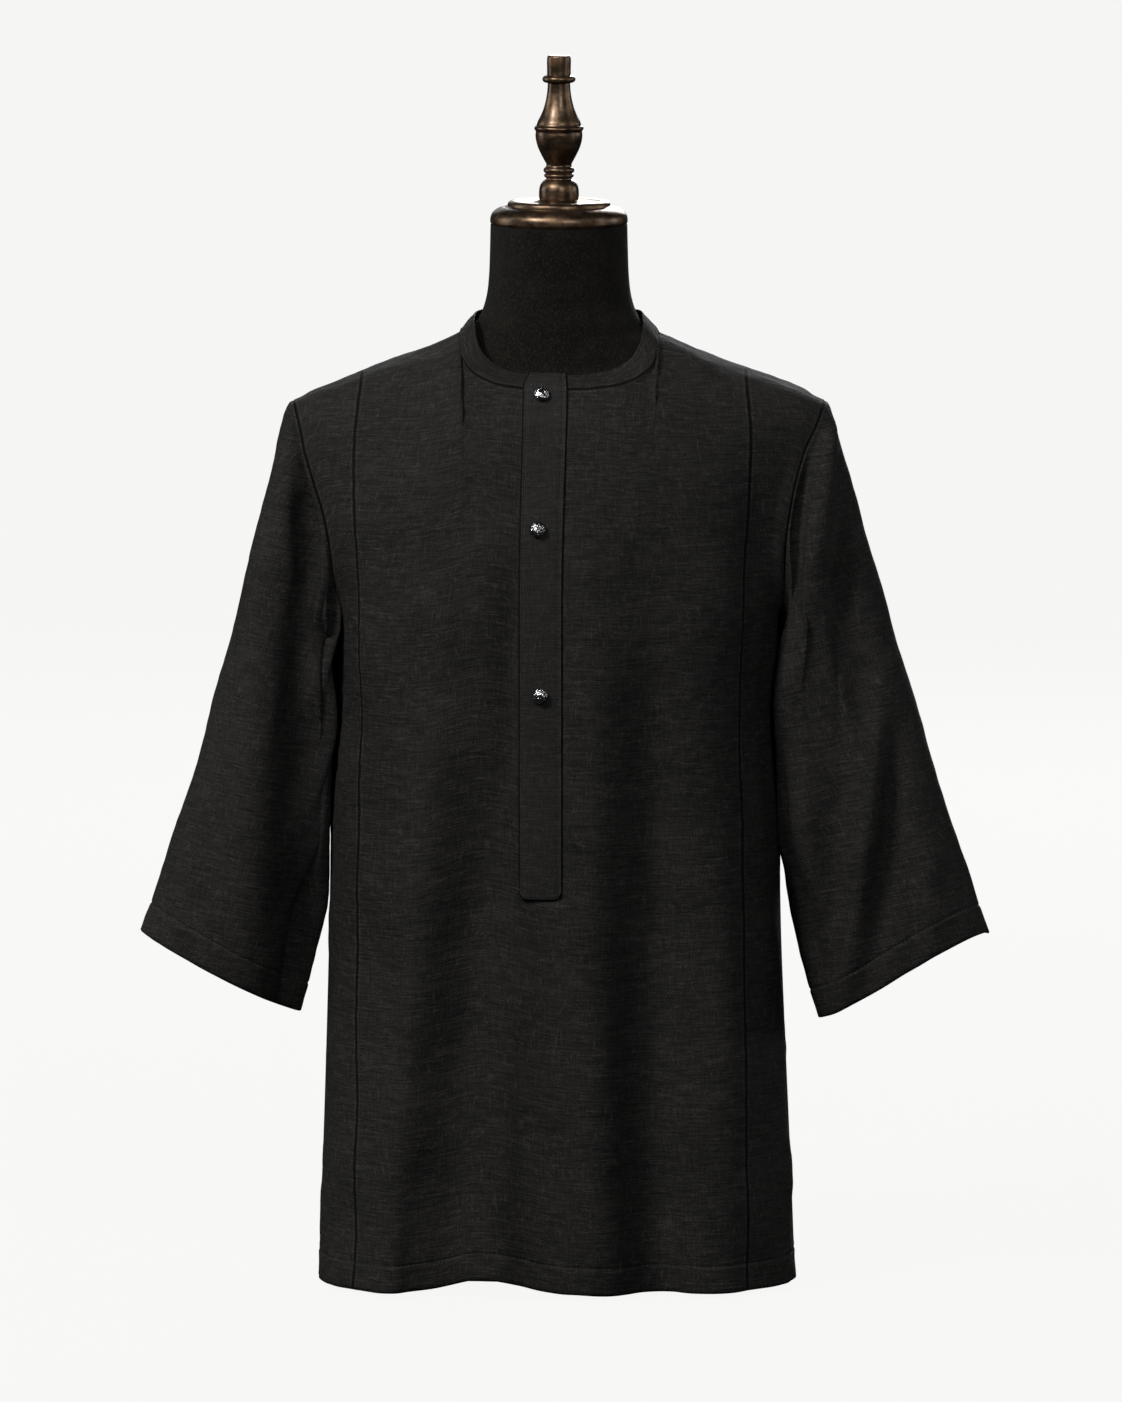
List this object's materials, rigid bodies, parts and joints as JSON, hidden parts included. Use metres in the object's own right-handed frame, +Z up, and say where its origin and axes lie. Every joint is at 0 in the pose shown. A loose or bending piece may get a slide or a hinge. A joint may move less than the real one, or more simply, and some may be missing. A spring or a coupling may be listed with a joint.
{
  "type": "linen shirt on a dress form",
  "caption": "Black linen tunic shirt with a band collar, a half placket with domed buttons and wide sleeves, worn by a limbless dress form with a turned finial.",
  "frame": {"origin": "on the floor, in the middle of the dress form's flat base from side to side and under the neck's axis from front to back", "axes": "+Z up along the dress form, the shirt's front faces -Y, +X is the viewer's right in the picture"},
  "size_m": [0.7465, 0.2571, 1.0842],
  "materials": {
    "linen": "matte slub weave",
    "placket_linen": "matte, smooth and interfaced",
    "form_cover": "matte jersey",
    "bronzed_wood": "satin antique bronze paint",
    "button_metal": "polished dark gunmetal"
  },
  "bodies": {
    "root": {"front_centre": "linen", "front_side_left": "linen", "front_side_right": "linen", "back": "linen", "sleeve_left": "linen", "sleeve_right": "linen", "collar_band": "linen", "placket": "placket_linen", "button_1": "button_metal", "button_2": "button_metal", "button_3": "button_metal", "form_torso": "form_cover", "neck_cap": "bronzed_wood", "finial": "bronzed_wood"}
  },
  "joints": []
}
